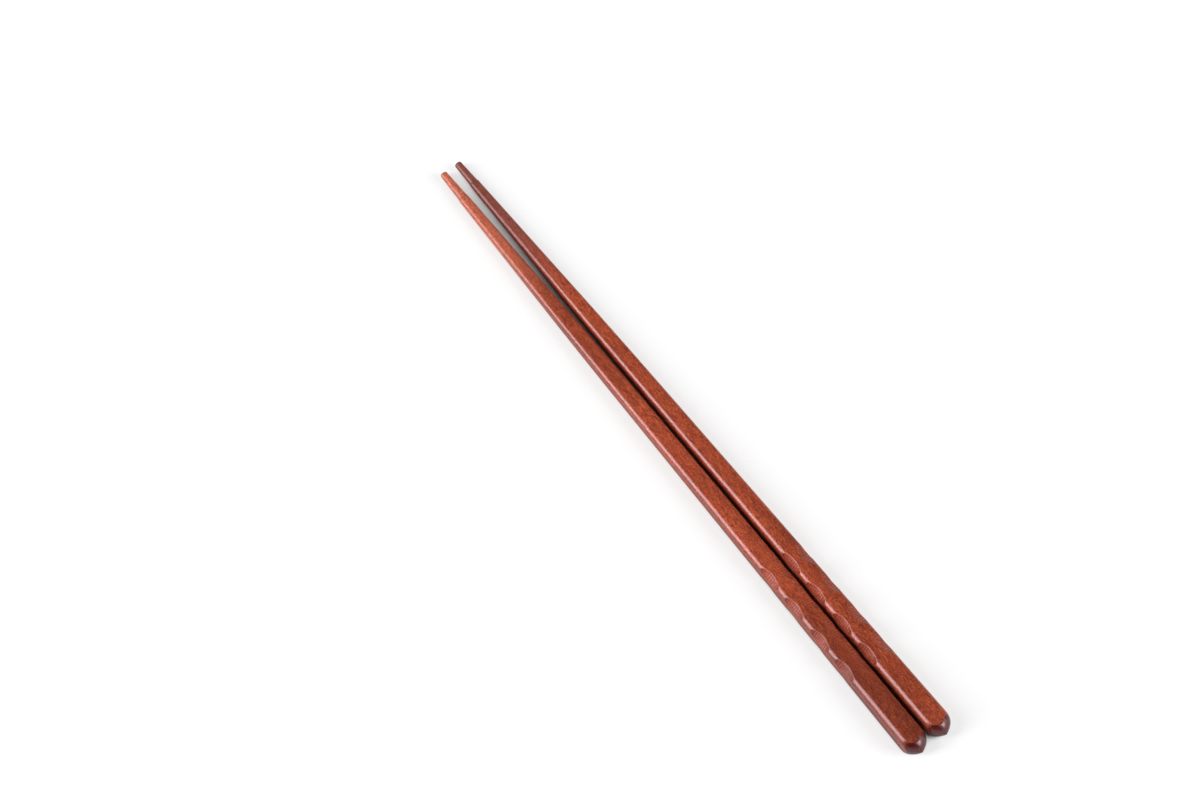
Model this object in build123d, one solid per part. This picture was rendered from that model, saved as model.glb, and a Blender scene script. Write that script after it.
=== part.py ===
from build123d import *
import os
from itertools import pairwise
from math import asin, atan2, cos, degrees, sqrt

# A pair of wooden chopsticks lying side by side on a table, in millimetres.
# In the pair's own frame X runs from the handle ends to the tips and Z is up from the table.
# Each stick is first made along +X, with its handle end at X = 0 and its tip at X = LENGTH.

# Length and thickness of one stick. Widths are across the flats of its square section.
LENGTH = 225.0
BUTT_WIDTH = 7.6  # where the rear taper reaches the handle end
MIDDLE_WIDTH = 5.1  # where the rear and front tapers would meet
TIP_WIDTH = 2.5  # where the front taper would reach the tip
FRONT_LENGTH = 70.0  # from the tip to where the two tapers would meet
TAPER_BLEND = 40.0  # length over which one taper eases into the other
BLEND_STEPS = 2
BUTT_EDGE_RADIUS = 2.0  # rounding of the four long edges at the handle end
TIP_EDGE_RADIUS = 1.0  # and towards the tip

# Domed handle end, blunt at its point and slow to reach the crests of the edges
DOME_LENGTH = 6.0
DOME_BLUNTNESS = 1.85  # where the tangents at its point and at its foot cross

# Round nose that grips the food, turned down a little from the square stick
NOSE_LENGTHS = {"left_chopstick": 9.9, "right_chopstick": 8.0}
NOSE_STEP = 0.06  # how far the nose lies under the flats where it starts
NOSE_END_DIAMETER = 2.15
NOSE_ROUNDING = 0.45

# Finger notches, scooped out of each long edge in two passes of a twin cutter
NOTCH_FROM_BUTT = 31.9  # handle end to the centre of the nearest notch
NOTCH_PITCH = 11.3  # between the two notches of a pass
NOTCH_PASS_PITCH = 23.3  # from one pass to the next
NOTCH_PASSES = 2
NOTCHES_PER_PASS = 2
NOTCH_LENGTH = 8.3  # along the rounded edge
NOTCH_DEPTH = 0.85  # below the rounded edge
NOTCH_TURN = 9.0  # how far they lean off the section's diagonals, in degrees, the same way on every edge
GRIP_LENGTH = 80.0  # handle end to just past the notches

# How the pair lies: clear gap between the two sticks' flats at each end
BUTT_GAP = 1.15
TIP_GAP = 2.75
SIDES = {"left_chopstick": 1, "right_chopstick": -1}

EDGES = 4
TAPER_CHANGE = LENGTH - FRONT_LENGTH


def width_at(x):
    """Width across the flats: two straight tapers, eased into each other by a parabola."""
    rear_slope = (MIDDLE_WIDTH - BUTT_WIDTH) / TAPER_CHANGE
    front_slope = (TIP_WIDTH - MIDDLE_WIDTH) / FRONT_LENGTH
    into_blend = min(max(x - (TAPER_CHANGE - TAPER_BLEND / 2), 0.0), TAPER_BLEND)
    past_blend = max(x - (TAPER_CHANGE + TAPER_BLEND / 2), 0.0)
    narrowing = into_blend**2 / (2 * TAPER_BLEND) + past_blend
    return BUTT_WIDTH + rear_slope * x + (front_slope - rear_slope) * narrowing


def edge_radius_at(x):
    """Rounding of the long edges, which shrinks steadily towards the tip."""
    return BUTT_EDGE_RADIUS + (TIP_EDGE_RADIUS - BUTT_EDGE_RADIUS) * x / LENGTH


def crest_at(x):
    """Distance from the axis to the crest of a rounded edge."""
    radius = edge_radius_at(x)
    return (width_at(x) / 2 - radius) * sqrt(2) + radius


def section(x):
    width = width_at(x)
    return Plane.YZ.offset(x) * RectangleRounded(width, width, edge_radius_at(x))


def strip(edge, next_edge):
    """The flat or rounded strip of surface between matching edges of two sections."""
    if edge.geom_type == GeomType.LINE:
        return make_face(Polyline(edge @ 0, edge @ 1, next_edge @ 1, next_edge @ 0, close=True))
    return Face.make_surface_from_curves(edge, next_edge)


def tapered_body(shoulder):
    """The square stick from its handle end to the shoulder of its nose, with true flat faces."""
    blend_start = TAPER_CHANGE - TAPER_BLEND / 2
    blend = [blend_start + TAPER_BLEND * step / BLEND_STEPS for step in range(BLEND_STEPS + 1)]
    sections = [section(x) for x in [0, GRIP_LENGTH, *blend, shoulder]]
    faces = [sections[0].face(), sections[-1].face()]
    for this, following in pairwise(sections):
        faces += [strip(edge, next_edge) for edge, next_edge in zip(this.edges(), following.edges())]
    return Solid(Shell(faces))


def dome_envelope():
    """Round bar whose end is a blunt dome, level with the crests of the edges at its foot."""
    radius = crest_at(0)
    crown = Bezier((0, 0), (DOME_BLUNTNESS, radius), (DOME_LENGTH, radius))
    rest = Polyline((DOME_LENGTH, radius), (LENGTH, radius), (LENGTH, 0), (0, 0))
    return revolve(make_face(crown + rest), Axis.X)


def round_nose(length):
    """Slim cone between the shoulder and the tip, with a rounded end."""
    shoulder = LENGTH - length
    root_radius = width_at(shoulder) / 2 - NOSE_STEP
    end_radius = NOSE_END_DIAMETER / 2
    profile = Polyline((shoulder, 0), (shoulder, root_radius), (LENGTH, end_radius), (LENGTH, 0), close=True)
    nose = revolve(make_face(profile), Axis.X)
    return fillet(nose.edges().sort_by(Axis.X)[-1], NOSE_ROUNDING)


def notch_cutters():
    """Round cutters laid across the four long edges at each notch."""
    radius = (NOTCH_LENGTH / 2) ** 2 / (2 * NOTCH_DEPTH) + NOTCH_DEPTH / 2
    cutter = Rot(X=90) * Cylinder(radius, BUTT_WIDTH)
    cutters = []
    for cut_pass in range(NOTCH_PASSES):
        for tooth in range(NOTCHES_PER_PASS):
            x = NOTCH_FROM_BUTT + cut_pass * NOTCH_PASS_PITCH + tooth * NOTCH_PITCH
            height = crest_at(x) - NOTCH_DEPTH + radius
            for edge in range(EDGES):
                turn = (edge + 0.5) * 360 / EDGES - NOTCH_TURN
                cutters.append(Rot(X=turn) * Pos(x, 0, height) * cutter)
    return cutters


def chopstick(nose_length):
    body = tapered_body(LENGTH - nose_length) & dome_envelope()
    return body - notch_cutters() + round_nose(nose_length)


def laid(stick, side):
    """The stick resting on the flat underside of its rear taper, turned in towards its twin."""
    tilt = atan2((BUTT_WIDTH - MIDDLE_WIDTH) / 2, TAPER_CHANGE)
    lift = BUTT_WIDTH / 2 * cos(tilt)
    butt_spacing = BUTT_WIDTH + BUTT_GAP
    tip_spacing = TIP_WIDTH + TIP_GAP
    toe_in = degrees(asin((butt_spacing - tip_spacing) / 2 / LENGTH))
    turned = Rot(Z=-side * toe_in) * Rot(Y=degrees(tilt)) * stick
    return Pos(0, side * butt_spacing / 2, lift) * turned


pair = {name: laid(chopstick(NOSE_LENGTHS[name]), side) for name, side in SIDES.items()}
middle = Compound(list(pair.values())).bounding_box().center()

os.makedirs("parts", exist_ok=True)
for name, stick in pair.items():
    export_step(Pos(-middle.X, -middle.Y, 0) * stick, f"parts/{name}.step")
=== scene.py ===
from math import asin, atan, atan2, cos, pi, radians, sin, sqrt

import bpy
import numpy as np
from mathutils import Matrix, Vector


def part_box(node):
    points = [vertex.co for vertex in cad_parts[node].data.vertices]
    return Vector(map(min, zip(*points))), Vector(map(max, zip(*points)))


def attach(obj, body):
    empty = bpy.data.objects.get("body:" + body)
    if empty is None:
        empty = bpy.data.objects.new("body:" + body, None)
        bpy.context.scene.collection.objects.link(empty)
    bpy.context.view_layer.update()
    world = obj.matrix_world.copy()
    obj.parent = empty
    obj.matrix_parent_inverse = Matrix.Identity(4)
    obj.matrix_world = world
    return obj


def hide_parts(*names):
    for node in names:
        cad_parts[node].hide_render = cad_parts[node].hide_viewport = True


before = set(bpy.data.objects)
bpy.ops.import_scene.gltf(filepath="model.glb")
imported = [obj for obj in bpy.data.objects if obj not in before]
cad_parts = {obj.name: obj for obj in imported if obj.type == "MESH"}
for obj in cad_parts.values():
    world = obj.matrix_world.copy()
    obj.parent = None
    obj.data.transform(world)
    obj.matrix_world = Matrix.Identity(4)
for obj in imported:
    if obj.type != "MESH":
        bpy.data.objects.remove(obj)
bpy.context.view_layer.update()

# A pair of lacquered red-brown chopsticks lying on a white table.
# The scene is in metres. A stick is worked out in millimetres along its own +X, with its handle end
# at X = 0, and is then laid where its CAD node lies.
MM = 0.001
SIDES = {"left_chopstick": 1, "right_chopstick": -1}

# Length and thickness of one stick. Widths are across the flats of its square section.
LENGTH = 225.0
BUTT_WIDTH = 7.6  # where the rear taper reaches the handle end
MIDDLE_WIDTH = 5.1  # where the rear and front tapers would meet
TIP_WIDTH = 2.5  # where the front taper would reach the tip
FRONT_LENGTH = 70.0  # from the tip to where the two tapers would meet
TAPER_CHANGE = LENGTH - FRONT_LENGTH
TAPER_BLEND = 40.0  # length over which one taper eases into the other
BUTT_EDGE_RADIUS = 2.0  # rounding of the long edges at the handle end
TIP_EDGE_RADIUS = 1.0  # and towards the tip
EDGES = 4

# Domed handle end
DOME_LENGTH = 6.0
DOME_BLUNTNESS = 1.85  # where the tangents at its point and at its foot cross
DOME_EASE = 0.12  # softening of the rim of the dome on the edges
DOME_EASE_ON_FLATS = 0.8  # and more of it where the flats lie under the crests of the edges

# Round nose, turned down a little from the square stick
NOSE_LENGTHS = {"left_chopstick": 9.9, "right_chopstick": 8.0}
NOSE_STEP = 0.06  # how far the nose lies under the flats where it starts
NOSE_STEP_LENGTH = 0.3  # over which it steps down
NOSE_END_DIAMETER = 2.15
NOSE_ROUNDING = 0.45

# Finger notches, scooped out of the long edges in two passes of a twin cutter
NOTCH_FROM_BUTT = 31.9  # handle end to the centre of the nearest notch
NOTCH_PITCH = 11.3  # between the two notches of a pass
NOTCH_PASS_PITCH = 23.3  # from one pass to the next
NOTCH_PASSES = 2
NOTCHES_PER_PASS = 2
NOTCH_LENGTH = 8.3  # along the rounded edge
NOTCH_DEPTH = 0.85  # below the rounded edge
NOTCH_TURN = radians(9)  # how far they lean off the section's diagonals
NOTCH_EASE = 0.1  # softening of the rims by the sanding and the lacquer
NOTCH_CENTRES = [
    NOTCH_FROM_BUTT + cut_pass * NOTCH_PASS_PITCH + tooth * NOTCH_PITCH
    for cut_pass in range(NOTCH_PASSES)
    for tooth in range(NOTCHES_PER_PASS)
]
CUTTER_RADIUS = (NOTCH_LENGTH / 2) ** 2 / (2 * NOTCH_DEPTH) + NOTCH_DEPTH / 2
CUTTER_MARK_PITCH = 0.74  # of the fine ridges that the cutter leaves across a notch
CUTTER_MARK_HEIGHT = 0.007
CUTTER_MARK_DRIFT = 0.2  # how far they stray along the stick, in pitches
CUTTER_MARK_LEAN = 0.1  # and round it
RIM_HIGHLIGHT_WIDTH = 0.07  # of the painted highlight along the notch rims, as a depth of cut

# How the pair lies: clear gap between the two sticks' flats at each end
BUTT_GAP = 1.15
TIP_GAP = 2.75

# Fineness of the mesh: columns round the stick, rows along it and the spacing of rows
FLAT_COLUMNS = 14
EDGE_COLUMNS = 16
DOME_ROWS = 34
PLAIN_STEP = 0.8
NOTCH_STEP = 0.125
NOTCH_REACH = 0.6 * NOTCH_LENGTH  # from the centres of the outer notches to where their rows end
SHOULDER_STEP = 0.05
NOSE_STEP_ALONG = 0.25
ROUNDING_ROWS = 8
CAP_ROWS = 3

# The skin is cut into equal lengths, laid one above the other on the texture map
MAP_LENGTHS = 3
MAP_MARGIN = 0.01


# Shape of a stick

def width_at(x):
    """Width across the flats: two straight tapers, eased into each other by a parabola."""
    rear_slope = (MIDDLE_WIDTH - BUTT_WIDTH) / TAPER_CHANGE
    front_slope = (TIP_WIDTH - MIDDLE_WIDTH) / FRONT_LENGTH
    into_blend = np.clip(x - (TAPER_CHANGE - TAPER_BLEND / 2), 0, TAPER_BLEND)
    past_blend = np.maximum(x - (TAPER_CHANGE + TAPER_BLEND / 2), 0)
    narrowing = into_blend**2 / (2 * TAPER_BLEND) + past_blend
    return BUTT_WIDTH + rear_slope * x + (front_slope - rear_slope) * narrowing


def edge_radius_at(x):
    """Rounding of the long edges, which shrinks steadily towards the tip."""
    return BUTT_EDGE_RADIUS + (TIP_EDGE_RADIUS - BUTT_EDGE_RADIUS) * x / LENGTH


def crest_at(x):
    """Distance from the axis to the crest of a rounded edge."""
    radius = edge_radius_at(x)
    return (width_at(x) / 2 - radius) * sqrt(2) + radius


def smooth_step(value, low, high):
    """0 below low and 1 above high, with a smooth rise between them."""
    share = np.clip((value - low) / (high - low), 0, 1)
    return share * share * (3 - 2 * share)


def smooth_min(a, b, ease):
    """The lower of a and b, eased into each other where they lie closer than ease."""
    near = np.maximum(ease - np.abs(a - b), 0) / ease
    return np.minimum(a, b) - near**2 * ease / 4


def square_bar(x, angle):
    """Distance from the axis to the rounded square bar."""
    half = width_at(x) / 2
    radius = edge_radius_at(x)
    corner = (half - radius) * sqrt(2)
    off_flat = np.abs((angle + pi / 4) % (pi / 2) - pi / 4)
    off_crest = pi / 4 - off_flat
    flat = half / np.cos(off_flat)
    across = np.maximum(radius**2 - (corner * np.sin(off_crest)) ** 2, 0)
    edge = corner * np.cos(off_crest) + np.sqrt(across)
    return np.where(half * np.tan(off_flat) < half - radius, flat, edge)


def notch_floor(x, angle):
    """Distance from the axis to the round cutters that lie across the edges."""
    off_crest = np.abs((angle + NOTCH_TURN) % (pi / 2) - pi / 4)
    lowest = np.full(np.shape(x), BUTT_WIDTH)
    for centre in NOTCH_CENTRES:
        along = np.clip(x - centre, -CUTTER_RADIUS, CUTTER_RADIUS)
        height = crest_at(centre) - NOTCH_DEPTH + CUTTER_RADIUS - np.sqrt(CUTTER_RADIUS**2 - along**2)
        lowest = np.minimum(lowest, height)
    return lowest / np.cos(off_crest)


def dome_place(share):
    """Place along the axis of a point of the dome's curve, from 0 at its point to 1 at its foot."""
    return 2 * DOME_BLUNTNESS * share * (1 - share) + DOME_LENGTH * share**2


def dome(x):
    """Radius of the blunt dome. Past its foot it opens out, clear of the bar."""
    bend = DOME_LENGTH - 2 * DOME_BLUNTNESS
    share = (np.sqrt(DOME_BLUNTNESS**2 + bend * np.minimum(x, DOME_LENGTH)) - DOME_BLUNTNESS) / bend
    return crest_at(0) * (2 * share - share**2) + np.maximum(x - DOME_LENGTH, 0)


def nose(x, shoulder):
    """Radius of the slim cone between the shoulder and the rounded tip."""
    root = width_at(shoulder) / 2 - NOSE_STEP
    cone = root + (NOSE_END_DIAMETER / 2 - root) * (x - shoulder) / (LENGTH - shoulder)
    into_end = np.clip(x - (LENGTH - NOSE_ROUNDING), 0, NOSE_ROUNDING)
    return cone - NOSE_ROUNDING + np.sqrt(NOSE_ROUNDING**2 - into_end**2)


def spaced(start, end, step):
    """Even places after start, up to and with end."""
    return np.linspace(start, end, round((end - start) / step) + 1)[1:]


def row_places(shoulder):
    """Places along the axis, closest together where the shape changes fastest."""
    dome_share = np.arange(1, DOME_ROWS + 1) / DOME_ROWS
    notch_start = NOTCH_CENTRES[0] - NOTCH_REACH
    notch_end = NOTCH_CENTRES[-1] + NOTCH_REACH
    rounding = np.arange(1, ROUNDING_ROWS + 1) / ROUNDING_ROWS * pi / 2
    return np.concatenate([
        dome_place(dome_share),
        spaced(DOME_LENGTH, notch_start, PLAIN_STEP),
        spaced(notch_start, notch_end, NOTCH_STEP),
        spaced(notch_end, shoulder - NOSE_STEP_LENGTH, PLAIN_STEP),
        spaced(shoulder - NOSE_STEP_LENGTH, shoulder + NOSE_STEP_LENGTH, SHOULDER_STEP),
        spaced(shoulder + NOSE_STEP_LENGTH, LENGTH - NOSE_ROUNDING, NOSE_STEP_ALONG),
        LENGTH - NOSE_ROUNDING + NOSE_ROUNDING * np.sin(rounding),
        np.full(CAP_ROWS, LENGTH),
    ])


def column_angles():
    """Angles round the axis, closest together on the rounded edges."""
    flat_half = atan(1 - 2 * BUTT_EDGE_RADIUS / BUTT_WIDTH)
    flat = np.linspace(-flat_half, flat_half, FLAT_COLUMNS, endpoint=False)
    edge = np.linspace(flat_half, pi / 2 - flat_half, EDGE_COLUMNS, endpoint=False)
    quarter = np.concatenate([flat, edge])
    return np.concatenate([quarter + side * pi / 2 for side in range(EDGES)])


def stick_surface(shoulder):
    """Rows and columns of points on one stick, with the masks at each point for where it is cut and for its
    painted highlight and shade.
    """
    x, angle = np.meshgrid(row_places(shoulder), column_angles(), indexing="ij")
    bar = square_bar(x, angle)
    cutter = notch_floor(x, angle)
    cut = bar - cutter
    notch = smooth_step(cut, -NOTCH_EASE / 2, NOTCH_EASE / 2)
    pitches = x / CUTTER_MARK_PITCH + CUTTER_MARK_DRIFT * np.sin(x) + CUTTER_MARK_LEAN * np.sin(angle)
    marks = np.cos(2 * pi * pitches)
    body = smooth_min(bar, cutter + notch * CUTTER_MARK_HEIGHT * marks, NOTCH_EASE)
    dome_ease = DOME_EASE + DOME_EASE_ON_FLATS * (crest_at(x) - bar)
    body = smooth_min(body, dome(x), dome_ease)
    turned = smooth_step(x, shoulder - NOSE_STEP_LENGTH / 2, shoulder + NOSE_STEP_LENGTH / 2)
    radius = body + (nose(np.maximum(x, shoulder), shoulder) - body) * turned
    radius[-CAP_ROWS:] *= 1 - np.arange(1, CAP_ROWS + 1)[:, None] / (CAP_ROWS + 1)
    slope = np.gradient(radius[:-CAP_ROWS], x[:-CAP_ROWS, 0], axis=0)
    across_fibres = np.ones_like(radius)
    across_fibres[:-CAP_ROWS] = np.abs(slope) / np.sqrt(1 + slope**2)
    points = np.stack([x, radius * np.cos(angle), radius * np.sin(angle)], axis=-1)
    finish_and_painted_light = {
        "notch": notch,
        # painted highlight: paler colour along the rims of the notches
        "rim": np.exp(-((cut / RIM_HIGHLIGHT_WIDTH) ** 2)),
        "end_grain": across_fibres,
        # painted shadow: a dark line round the step where the nose starts
        "nose_step_shadow": np.exp(-(((x - shoulder) / NOSE_STEP_LENGTH) ** 2)),
        # painted light and shade of the cutter's ridges, lighter on their crests and darker in their
        # troughs
        "cutter_ridge_shading": notch * marks,
    }
    return points, finish_and_painted_light


def laid(points, side):
    """The points of a stick that rests on the underside of its rear taper, turned in to its twin."""
    tilt = atan2((BUTT_WIDTH - MIDDLE_WIDTH) / 2, TAPER_CHANGE)
    butt_spacing = BUTT_WIDTH + BUTT_GAP
    toe_in = asin((butt_spacing - TIP_WIDTH - TIP_GAP) / 2 / LENGTH)
    turn = Matrix.Rotation(-side * toe_in, 3, "Z") @ Matrix.Rotation(tilt, 3, "Y")
    lift = BUTT_WIDTH / 2 * cos(tilt)
    return points @ np.array(turn).T + np.array([0, side * butt_spacing / 2, lift])


def skin_faces(rows, columns):
    """Quads between the rows, and triangles to the two end points, which are the last two vertices."""
    first = np.arange(columns)
    following = (first + 1) % columns
    starts = np.arange(rows - 1)[:, None] * columns
    next_starts = starts + columns
    quads = np.stack([starts + first, next_starts + first, next_starts + following, starts + following], -1)
    butt = np.full(columns, rows * columns)
    last = (rows - 1) * columns
    butt_fan = np.stack([butt, first, following], -1)
    tip_fan = np.stack([last + first, butt + 1, last + following], -1)
    return quads.reshape(-1, 4).tolist() + butt_fan.tolist() + tip_fan.tolist()


def skin_map(along, rows, columns):
    """Texture places of the faces' corners, in the order of skin_faces."""
    column = np.arange(columns)
    row = np.arange(rows - 1)[:, None]
    quad_rows = np.stack(np.broadcast_arrays(row, row + 1, row + 1, row, column)[:4], -1)
    quad_columns = np.stack(np.broadcast_arrays(column, column, column + 1, column + 1, row)[:4], -1)
    fan_columns = np.stack([column, column + 0.5, column + 1], -1)
    s = np.concatenate([
        along[quad_rows + 1].ravel(),
        np.tile([along[0], along[1], along[1]], columns),
        np.tile([along[-2], along[-1], along[-2]], columns),
    ])
    t = np.concatenate([
        quad_columns.ravel(),
        fan_columns[:, [1, 0, 2]].ravel(),
        fan_columns[:, [0, 1, 2]].ravel(),
    ]) / columns
    quad_middle = np.repeat((along[1:-2] + along[2:-1]) / 2, 4 * columns)
    ends = np.repeat([along[0], along[-1]], 3 * columns)
    length = np.clip(np.floor(np.concatenate([quad_middle, ends]) * MAP_LENGTHS), 0, MAP_LENGTHS - 1)
    u = MAP_MARGIN + (1 - 2 * MAP_MARGIN) * (s * MAP_LENGTHS - length)
    v = (length + MAP_MARGIN + (1 - 2 * MAP_MARGIN) * t) / MAP_LENGTHS
    return np.stack([u, v], -1)


def chopstick(name, side, material):
    """One stick as a fine closed mesh, in the place of its CAD node."""
    points, finish_and_painted_light = stick_surface(LENGTH - NOSE_LENGTHS[name])
    rows, columns = points.shape[:2]
    ends = np.array([[0, 0, 0], [LENGTH, 0, 0]])
    local = np.concatenate([points.reshape(-1, 3), ends])
    placed = laid(local, side) * MM
    placed[:, 0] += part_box(name)[0].x - placed[:, 0].min()

    mesh = bpy.data.meshes.new(name)
    mesh.from_pydata(placed.tolist(), [], skin_faces(rows, columns))
    mesh.shade_smooth()

    middle = points.mean(axis=1)
    line = np.concatenate([ends[:1], middle, ends[1:]])[:, 0]
    width = np.concatenate([[0], np.linalg.norm(points - middle[:, None], axis=2).max(axis=1), [0]])
    run = np.concatenate([[0], np.cumsum(np.hypot(np.diff(line), np.diff(width)))])
    skin = mesh.uv_layers.new(name="OFBake")
    skin.uv.foreach_set("vector", skin_map(run / run[-1], rows, columns).astype(np.float32).ravel())

    grain = mesh.attributes.new("grain", "FLOAT_VECTOR", "POINT")
    grain.data.foreach_set("vector", local.astype(np.float32).ravel())
    for mask, values in finish_and_painted_light.items():
        layer = mesh.attributes.new(mask, "FLOAT", "POINT")
        with_ends = np.append(values.ravel(), values[[0, -1], 0])
        layer.data.foreach_set("value", with_ends.astype(np.float32))
    which = mesh.attributes.new("which_stick", "FLOAT", "POINT")
    which.data.foreach_set("value", np.full(len(local), float(side < 0), np.float32))

    mesh.materials.append(material)
    stick = bpy.data.objects.new(name + "_lacquered", mesh)
    bpy.context.scene.collection.objects.link(stick)
    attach(stick, "root")
    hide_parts(name)


# Finishes, with painted highlight and shade on the wood

ATTRIBUTE_VECTOR = 1  # outputs of an attribute node
ATTRIBUTE_NUMBER = 2
SEPARATE_Z = 2  # output of a node that takes a vector apart


class Nodes:
    """Short calls that add and link the nodes of one material."""

    def __init__(self, tree):
        self.tree = tree
        self.tree.nodes.clear()

    def add(self, kind, *inputs, output=0, **settings):
        """Adds a node, sets it up, feeds its inputs in order and returns one of its outputs."""
        node = self.tree.nodes.new(kind)
        for name, value in settings.items():
            setattr(node, name, value)
        sockets = [socket for socket in node.inputs if socket.enabled]
        for socket, value in zip(sockets, inputs):
            self.feed(socket, value)
        return [socket for socket in node.outputs if socket.enabled][output]

    def feed(self, socket, value):
        """Links an output to a socket, or sets the socket to a plain value."""
        if isinstance(value, bpy.types.NodeSocket):
            self.tree.links.new(value, socket)
        else:
            socket.default_value = value

    def attribute(self, name, output=ATTRIBUTE_NUMBER):
        return self.add("ShaderNodeAttribute", attribute_name=name, output=output)

    def maths(self, operation, *values):
        return self.add("ShaderNodeMath", *values, operation=operation)

    def times(self, value, factor):
        return self.maths("MULTIPLY", value, factor)

    def remap(self, value, low, high, to_low=0.0, to_high=1.0):
        return self.add("ShaderNodeMapRange", value, low, high, to_low, to_high,
                        interpolation_type="SMOOTHSTEP")

    def vary(self, value, low, high, spread):
        """A factor that strays from 1 by up to spread as the value goes from low to high."""
        return self.remap(value, low, high, 1 - spread, 1 + spread)

    def noise(self, place, sizes, detail, roughness=0.5):
        """Noise in grains of these sizes along X, Y and Z, in millimetres."""
        per_grain = [1 / size for size in sizes]
        scaled = self.add("ShaderNodeVectorMath", place, per_grain, operation="MULTIPLY")
        return self.add("ShaderNodeTexNoise", scaled, 1.0, detail, roughness, normalize=True)

    def mix(self, share, a, b, blend="MIX"):
        return self.add("ShaderNodeMix", share, a, b, data_type="RGBA", blend_type=blend)

    def bump(self, height, distance):
        node = self.tree.nodes.new("ShaderNodeBump")
        node.inputs["Distance"].default_value = distance
        self.feed(node.inputs["Height"], height)
        return node.outputs["Normal"]


def grey(value):
    return (value, value, value, 1.0)


# Colours of the wood
DEEP_RED = (0.235, 0.036, 0.015, 1.0)
WARM_RED = (0.385, 0.073, 0.027, 1.0)
# Pores, and the painted shadow line where the nose starts
PORE_AND_STEP_SHADOW_BROWN = (0.07, 0.011, 0.007, 1.0)
LEFT_TIP_RED = (0.53, 0.130, 0.066, 1.0)
RIGHT_TIP_BROWN = (0.22, 0.058, 0.040, 1.0)
CUT_FIBRE_AND_RIM_HIGHLIGHT = (0.40, 0.085, 0.050, 1.0)  # in the notches, and as a painted highlight along their rims
END_GRAIN_RED = (0.055, 0.003, 0.003, 1.0)  # on the domes

# Its grain, in millimetres along and across the stick, and the range of the noise that shows
TONE_GRAIN = (38.0, 5.0, 5.0)
FIBRE_GRAIN = (2.6, 0.36, 0.36)
SPECKLE_GRAIN = (0.55, 0.32, 0.32)
PORE_GRAIN = (1.4, 0.22, 0.22)
STICK_OFFSET = (311.0, 17.0, 29.0)  # from the grain of one stick to that of its twin
NOISE_RANGE = (0.3, 0.7)
PORE_RANGE = (0.60, 0.72)
TONE_SPREAD = 0.16
SPECKLE_SPREAD = 0.38
# how far the painted light and shade on the cutter's ridges strays from the plain colour
CUTTER_RIDGE_SHADING_SPREAD = 0.38
PORE_SHARE = 0.6
GRAIN_RELIEF = 0.000002  # in metres

# Its tone along the stick, in millimetres from the handle end
TIP_TONE_RANGE = (165.0, 205.0)
TIP_TONE_SHARE = 0.85
HANDLE_TONE_RANGE = (15.0, 70.0)
LEFT_HANDLE_SHADE = 0.62
RIGHT_HANDLE_SHADE = 0.96
FRONT_SHADE = 1.04

# Where it is cut, with the painted highlight on the notch rims and the painted shadow line at the nose: how
# steep the domes are where end grain starts and is full, and shares of colour
END_GRAIN_RANGE = (0.22, 0.42)
END_GRAIN_SHARE = 0.92
NOTCH_SHARE = 0.12
RIM_HIGHLIGHT_SHARE = 0.35
LEFT_STEP_SHADOW_SHARE = 0.08  # of the painted shadow line where the nose starts
RIGHT_STEP_SHADOW_SHARE = 0.5

# Its lacquer: roughness over the fibres, and what is added to it elsewhere
FIBRE_GLOSS_RANGE = (0.2, 0.8)
FIBRE_ROUGHNESS = (0.29, 0.35)
NOTCH_ROUGHER = 0.08
END_GRAIN_ROUGHER = -0.06
TIP_ROUGHER = 0.12
SHEEN_LEVEL = 0.66
SHEEN_TINT = (1.0, 0.74, 0.80, 1.0)


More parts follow.
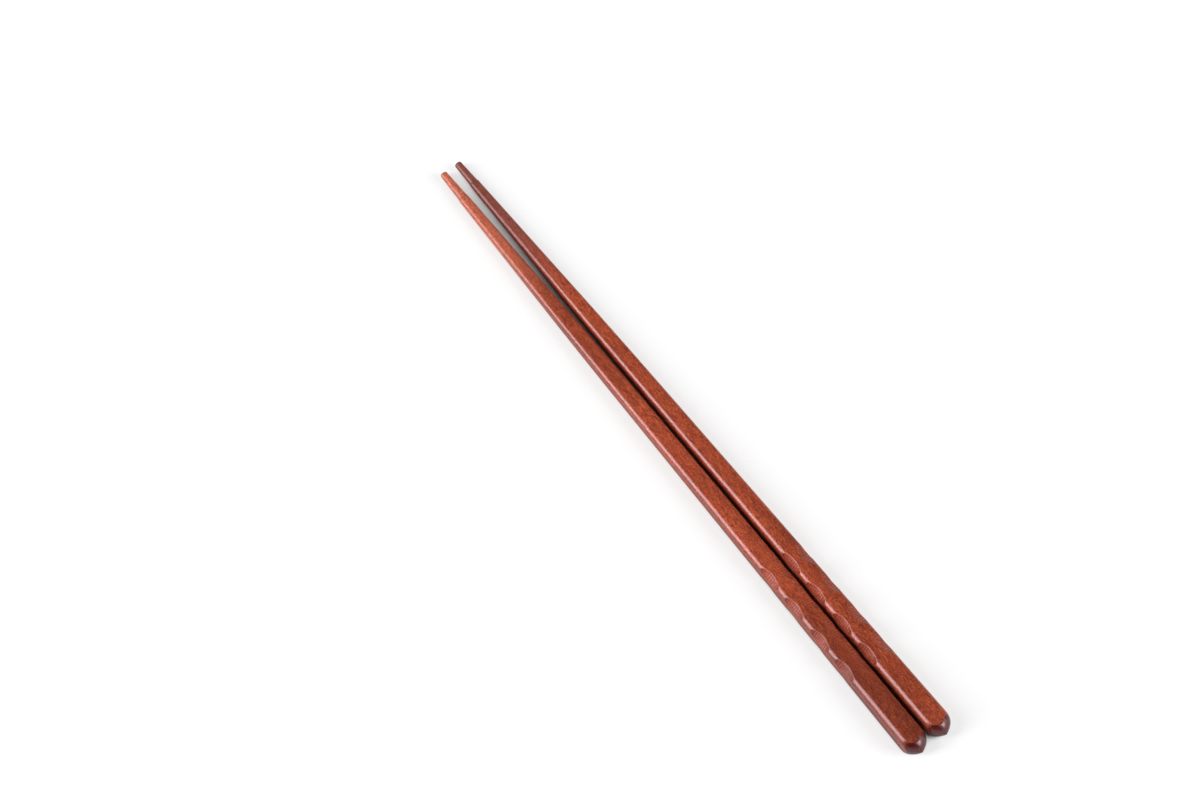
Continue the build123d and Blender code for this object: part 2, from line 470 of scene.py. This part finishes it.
def lacquered_wood():
    """Fine-grained red-brown hardwood under a satin lacquer. Its colour also carries a painted highlight
    along the notch rims, a painted shadow line where the nose starts and painted light and shade on the
    cutter's ridges.
    """
    material = bpy.data.materials.new("lacquered_wood")
    material.use_nodes = True
    n = Nodes(material.node_tree)
    which = n.attribute("which_stick")
    own_place = n.attribute("grain", output=ATTRIBUTE_VECTOR)
    shift = n.add("ShaderNodeVectorMath", STICK_OFFSET, which, operation="SCALE")
    place = n.add("ShaderNodeVectorMath", own_place, shift, operation="ADD")
    along = n.add("ShaderNodeSeparateXYZ", own_place)

    tone = n.vary(n.noise(place, TONE_GRAIN, detail=1.0), *NOISE_RANGE, TONE_SPREAD)
    fibres = n.noise(place, FIBRE_GRAIN, detail=3.0, roughness=0.6)
    speckle = n.vary(n.noise(place, SPECKLE_GRAIN, detail=1.0), *NOISE_RANGE, SPECKLE_SPREAD)
    pores = n.times(n.remap(n.noise(place, PORE_GRAIN, detail=0.0), *PORE_RANGE), PORE_SHARE)

    colour = n.mix(n.remap(fibres, *NOISE_RANGE), DEEP_RED, WARM_RED)
    tip_share = n.remap(along, *TIP_TONE_RANGE, 0.0, TIP_TONE_SHARE)
    colour = n.mix(tip_share, colour, n.mix(which, LEFT_TIP_RED, RIGHT_TIP_BROWN))
    handle_shade = n.remap(which, 0.0, 1.0, LEFT_HANDLE_SHADE, RIGHT_HANDLE_SHADE)
    handle_shade = n.remap(along, *HANDLE_TONE_RANGE, handle_shade, FRONT_SHADE)
    shade = n.times(n.times(tone, speckle), handle_shade)
    # Painted light and shade on the cutter's ridges: lighter on their crests, darker in their troughs
    shade = n.times(shade, n.vary(n.attribute("cutter_ridge_shading"), -1.0, 1.0, CUTTER_RIDGE_SHADING_SPREAD))
    colour = n.mix(1.0, colour, n.add("ShaderNodeCombineColor", shade, shade, shade), blend="MULTIPLY")
    colour = n.mix(pores, colour, PORE_AND_STEP_SHADOW_BROWN)

    end_grain = n.remap(n.attribute("end_grain"), *END_GRAIN_RANGE, 0.0, END_GRAIN_SHARE)
    colour = n.mix(end_grain, colour, END_GRAIN_RED)
    notch = n.attribute("notch")
    colour = n.mix(n.times(notch, NOTCH_SHARE), colour, CUT_FIBRE_AND_RIM_HIGHLIGHT)
    # Painted highlight: paler colour along the rims of the notches
    colour = n.mix(n.times(n.attribute("rim"), RIM_HIGHLIGHT_SHARE), colour, CUT_FIBRE_AND_RIM_HIGHLIGHT)
    # Painted shadow: a dark line round the step where the nose starts, strong on the right stick
    step_shadow_share = n.remap(which, 0.0, 1.0, LEFT_STEP_SHADOW_SHARE, RIGHT_STEP_SHADOW_SHARE)
    colour = n.mix(n.times(n.attribute("nose_step_shadow"), step_shadow_share), colour, PORE_AND_STEP_SHADOW_BROWN)

    roughness = n.remap(fibres, *FIBRE_GLOSS_RANGE, *FIBRE_ROUGHNESS)
    roughness = n.maths("ADD", roughness, n.times(notch, NOTCH_ROUGHER))
    roughness = n.maths("ADD", roughness, n.times(end_grain, END_GRAIN_ROUGHER))
    roughness = n.maths("ADD", roughness, n.times(tip_share, TIP_ROUGHER))
    normal = n.bump(n.maths("SUBTRACT", fibres, pores), GRAIN_RELIEF)

    shader = n.tree.nodes.new("ShaderNodeBsdfPrincipled")
    output = n.tree.nodes.new("ShaderNodeOutputMaterial")
    n.feed(shader.inputs["Base Color"], colour)
    n.feed(shader.inputs["Roughness"], roughness)
    n.feed(shader.inputs["Normal"], normal)
    shader.inputs["Specular IOR Level"].default_value = SHEEN_LEVEL
    shader.inputs["Specular Tint"].default_value = SHEEN_TINT
    n.feed(output.inputs["Surface"], shader.outputs["BSDF"])
    return material


# Table, light and camera

FLOOR_SIZE = 40.0
FLOOR_DROP = 0.00002
FLOOR_SHADE = 0.38
FLOOR_WHITE = 0.61  # added for what is seen, so that the open table is white
FLOOR_REACH = 0.02  # how far the table looks for what shuts it in
SEEN_RANGE = (0.22, 0.5)  # how open the table is where that white starts and is full, to the eye; less open, it takes a painted shade
MIRRORED_RANGE = (0.4, 0.97)  # and in the lacquer

HORIZON_RANGE = (0.08, 0.25)  # height above the horizon where its light starts to fade and has faded

VIEW_HEADING = radians(-37.776)
VIEW_ELEVATION = radians(68)
VIEW_DISTANCE = 1.8
VIEW_TARGET = Vector((28.71, 9.60, 0)) * MM
LENS_MM = 187.45


def white_table():
    """A wide table top that keeps its shadows. It looks white to the eye and in the lacquer, and that white
    fades into a painted shade where the sticks shut it in."""
    half = FLOOR_SIZE / 2
    corners = [(-half, -half), (half, -half), (half, half), (-half, half)]
    mesh = bpy.data.meshes.new("table")
    mesh.from_pydata([(x, y, -FLOOR_DROP) for x, y in corners], [], [(0, 1, 2, 3)])
    material = bpy.data.materials.new("white_table")
    material.use_nodes = True
    n = Nodes(material.node_tree)
    path = n.tree.nodes.new("ShaderNodeLightPath")
    mirrored = n.maths("MAXIMUM", path.outputs["Is Glossy Ray"], path.outputs["Is Transmission Ray"])
    lit = n.add("ShaderNodeBsdfDiffuse", grey(FLOOR_SHADE))
    openness = n.tree.nodes.new("ShaderNodeAmbientOcclusion")
    openness.inputs["Distance"].default_value = FLOOR_REACH
    # Painted shade: the white glow fades where the sticks shut the table in, to the eye and in the lacquer
    to_the_eye = n.remap(openness.outputs["AO"], *SEEN_RANGE, 0.0, FLOOR_WHITE)
    to_the_eye = n.times(path.outputs["Is Camera Ray"], to_the_eye)
    in_the_lacquer = n.remap(openness.outputs["AO"], *MIRRORED_RANGE, 0.0, FLOOR_WHITE)
    in_the_lacquer = n.times(mirrored, in_the_lacquer)
    glow = n.add("ShaderNodeEmission", grey(1.0), n.maths("ADD", to_the_eye, in_the_lacquer))
    output = n.tree.nodes.new("ShaderNodeOutputMaterial")
    n.feed(output.inputs["Surface"], n.add("ShaderNodeAddShader", lit, glow))
    mesh.materials.append(material)
    table = bpy.data.objects.new("table", mesh)
    bpy.context.scene.collection.objects.link(table)


def softbox(name, direction, distance, size, radiance, lights=True, shows=True):
    """A soft lamp of that width, height and brightness, turned to the pair. One that doesn't show only
    lights the wood, and one that doesn't light it is a card that only shows in the lacquer."""
    width, height = size
    light = bpy.data.lights.new(name, "AREA")
    light.shape = "RECTANGLE"
    light.size = width
    light.size_y = height
    light.energy = radiance * pi * width * height
    lamp = bpy.data.objects.new(name, light)
    way = Vector(direction).normalized()
    lamp.location = way * distance
    lamp.rotation_euler = way.to_track_quat("Z", "Y").to_euler()
    lamp.visible_diffuse = lights
    lamp.visible_glossy = shows
    bpy.context.scene.collection.objects.link(lamp)


def studio_world(horizon, overhead):
    """Faint light from all round, brighter at the horizon than above."""
    world = bpy.data.worlds.new("studio")
    world.use_nodes = True
    n = Nodes(world.node_tree)
    way = n.add("ShaderNodeTexCoord")
    up = n.add("ShaderNodeSeparateXYZ", way, output=SEPARATE_Z)
    strength = n.remap(up, *HORIZON_RANGE, horizon, overhead)
    background = n.add("ShaderNodeBackground", grey(1.0), strength)
    output = n.tree.nodes.new("ShaderNodeOutputWorld")
    n.feed(output.inputs["Surface"], background)
    bpy.context.scene.world = world


def camera():
    """The viewing angle of the photograph: from high up and far away."""
    data = bpy.data.cameras.new("camera")
    data.lens = LENS_MM
    eye = bpy.data.objects.new("camera", data)
    ahead = Vector((cos(VIEW_HEADING), sin(VIEW_HEADING), 0)) * cos(VIEW_ELEVATION)
    look = ahead - Vector((0, 0, sin(VIEW_ELEVATION)))
    eye.location = VIEW_TARGET - look * VIEW_DISTANCE
    eye.rotation_euler = look.to_track_quat("-Z", "Y").to_euler()
    bpy.context.scene.collection.objects.link(eye)
    bpy.context.scene.camera = eye


wood = lacquered_wood()
for node, which_side in SIDES.items():
    chopstick(node, which_side, wood)

white_table()
studio_world(horizon=0.25, overhead=0.06)
softbox("left_softbox", (0.30, 0.79, 0.53), distance=4.0, size=(1.2, 4.0), radiance=13.0)
softbox("rear_softbox", (-0.67, -0.56, 0.48), distance=3.0, size=(1.6, 2.6), radiance=6.8, shows=False)
softbox("wide_card", (-0.735, -0.554, 0.391), distance=3.0, size=(2.6, 2.4), radiance=2.2, lights=False)
softbox("strip_card", (-0.820, -0.348, 0.454), distance=3.0, size=(1.0, 2.0), radiance=8.0, lights=False)
softbox("tip_softbox", (0.82, -0.30, 0.49), distance=3.0, size=(1.6, 1.6), radiance=2.0)
camera()
bpy.context.scene.view_settings.view_transform = "Standard"
